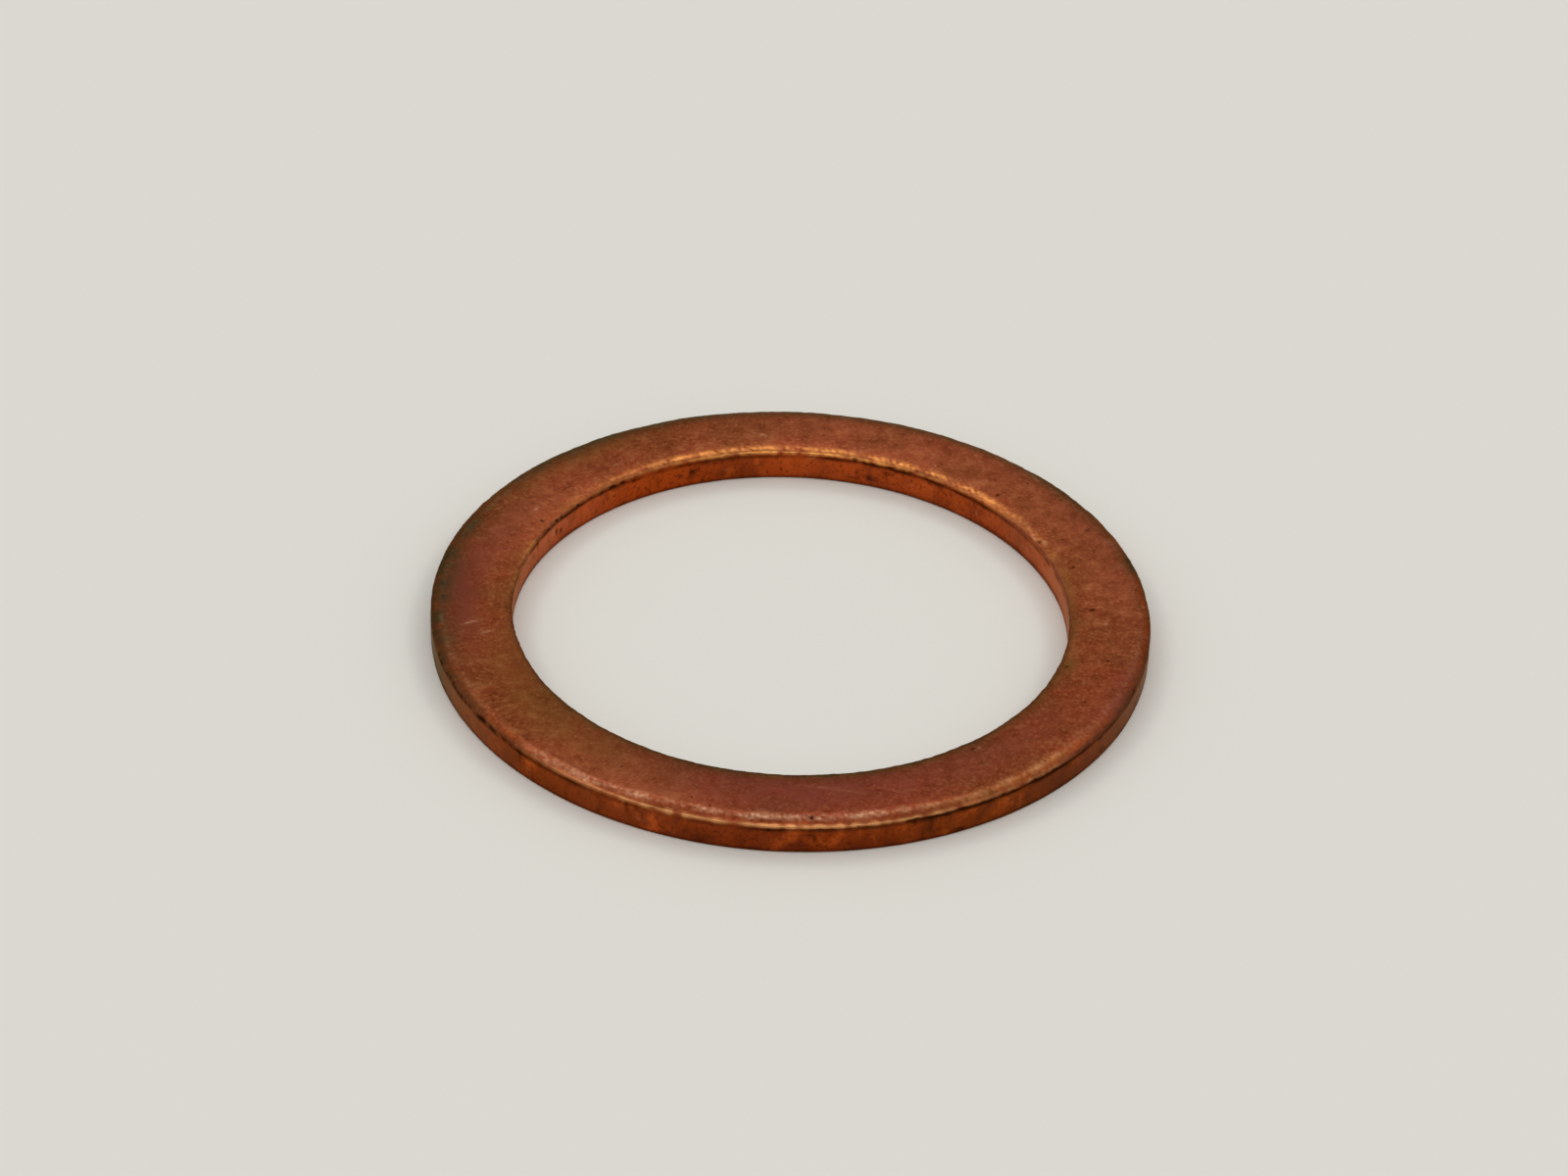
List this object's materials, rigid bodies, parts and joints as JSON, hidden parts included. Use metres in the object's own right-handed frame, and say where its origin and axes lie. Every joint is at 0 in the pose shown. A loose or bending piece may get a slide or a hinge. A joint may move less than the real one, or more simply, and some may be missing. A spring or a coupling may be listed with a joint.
{
  "type": "flat washer",
  "caption": "Flat copper sealing washer: a plain ring, softly rolled at its upper edges, that seals a screw plug or banjo bolt against a flat boss.",
  "frame": {"origin": "centre of the bore on the plane of the lower face, the plane that the washer lies on", "axes": "+Z is the axis of the ring, up and out of the rolled upper face; X and Y lie in the plane of the washer, and the ring looks the same whichever way they point"},
  "size_m": [0.0314, 0.0314, 0.0015],
  "materials": {
    "copper": "satin"
  },
  "bodies": {
    "root": {"sealing_washer": "copper"}
  },
  "joints": []
}
